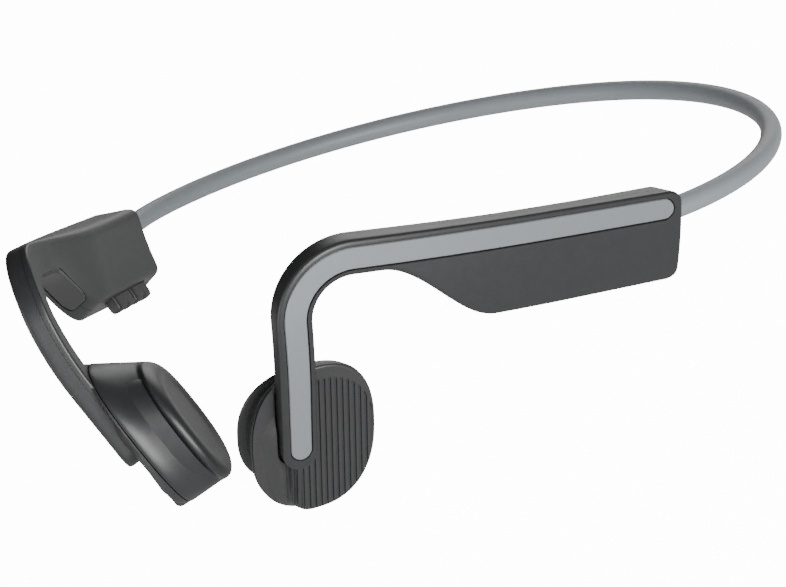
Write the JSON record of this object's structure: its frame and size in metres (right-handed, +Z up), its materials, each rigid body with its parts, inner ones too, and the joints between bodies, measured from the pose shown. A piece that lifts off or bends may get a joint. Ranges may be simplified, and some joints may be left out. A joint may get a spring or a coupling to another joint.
{
  "type": "bone conduction headphones",
  "caption": "Bone conduction headphones: a sprung silicone neckband, ear arms with electronics pods and ribbed transducers that rest on the cheekbones.",
  "frame": {"origin": "centre of the bounding box's bottom face, on the surface on which the headphones lie, resting on both transducers and the rear of the neckband", "axes": "+X towards the wearer's left, -Y towards the front of the head, +Z up from the surface"},
  "size_m": [0.1268, 0.1396, 0.0464],
  "materials": {
    "shell_black": "fine satin grain, slightly rubbery black",
    "cover_black": "matte black",
    "band_grey": "satin silicone, blue grey",
    "accent_silver": "satin silver",
    "spring_titanium": "drawn sprung metal",
    "driver_steel": "plated steel",
    "coil_copper": "enamelled copper wire",
    "circuit_green": "solder mask",
    "part_plastic": "moulded plastic",
    "battery_foil": "crimped foil",
    "seal_rubber": "matte rubber"
  },
  "bodies": {
    "neckband_rear": {"neckband_rear_sheath": "band_grey", "neckband_rear_spring_wire": "spring_titanium"},
    "left_side": {"battery_board": "circuit_green", "battery_cell": "battery_foil", "left_accent_strip": "accent_silver", "left_arm_spring": "spring_titanium", "left_contact_cover": "shell_black", "left_inner_shell": "shell_black", "left_magnet": "driver_steel", "left_outer_shell": "shell_black", "left_pole_plate": "driver_steel", "left_spring_plate": "driver_steel", "left_transducer_housing": "shell_black", "left_voice_coil": "coil_copper", "left_yoke": "driver_steel", "multifunction_switch": "part_plastic", "neckband_left_sheath": "band_grey", "neckband_left_spring_wire": "spring_titanium"},
    "right_side": {"charging_socket": "driver_steel", "main_board": "circuit_green", "microphone": "part_plastic", "neckband_right_sheath": "band_grey", "neckband_right_spring_wire": "spring_titanium", "radio_shield": "driver_steel", "right_accent_strip": "accent_silver", "right_arm_spring": "spring_titanium", "right_contact_cover": "shell_black", "right_inner_shell": "shell_black", "right_magnet": "driver_steel", "right_outer_shell": "shell_black", "right_pole_plate": "driver_steel", "right_ribbed_plate": "cover_black", "right_spring_plate": "driver_steel", "right_transducer_housing": "shell_black", "right_voice_coil": "coil_copper", "right_yoke": "driver_steel", "volume_down_switch": "part_plastic", "volume_up_switch": "part_plastic"},
    "multifunction_button": {"left_ribbed_plate": "cover_black"},
    "volume_up_button": {"volume_up": "cover_black"},
    "volume_down_button": {"volume_down": "cover_black"},
    "port_flap": {"port_cover": "seal_rubber"}
  },
  "joints": [
    {"name": "flex_left", "type": "hinge", "parent": "neckband_rear", "child": "left_side", "pos_m": [0.02781, 0.06312, 0.00307], "axis": [0, 0.2398, 0.9708], "range_deg": [-1, 25], "stiffness_Nm_per_rad": 0.13},
    {"name": "flex_right", "type": "hinge", "parent": "neckband_rear", "child": "right_side", "pos_m": [-0.02781, 0.06312, 0.00307], "axis": [0, -0.2398, -0.9708], "range_deg": [-1, 25], "stiffness_Nm_per_rad": 0.13},
    {"name": "multifunction_press", "type": "slide", "parent": "left_side", "child": "multifunction_button", "axis": [-0.7112, 0.6467, 0.2756], "range_m": [0, 0.00035], "stiffness_N_per_m": 400, "springref_m": -0.0004},
    {"name": "volume_up_press", "type": "slide", "parent": "right_side", "child": "volume_up_button", "axis": [-0.4457, 0.1753, 0.8779], "range_m": [0, 0.0004], "stiffness_N_per_m": 400, "springref_m": -0.0004},
    {"name": "volume_down_press", "type": "slide", "parent": "right_side", "child": "volume_down_button", "axis": [-0.426, 0.1802, 0.8866], "range_m": [0, 0.0004], "stiffness_N_per_m": 400, "springref_m": -0.0004},
    {"name": "port_flap_swing", "type": "hinge", "parent": "right_side", "child": "port_flap", "pos_m": [-0.03967, -0.04164, 0.02609], "axis": [0.819, 0.5616, 0.1174], "range_deg": [0, 95], "stiffness_Nm_per_rad": 0.0002, "springref_deg": -11.46}
  ]
}
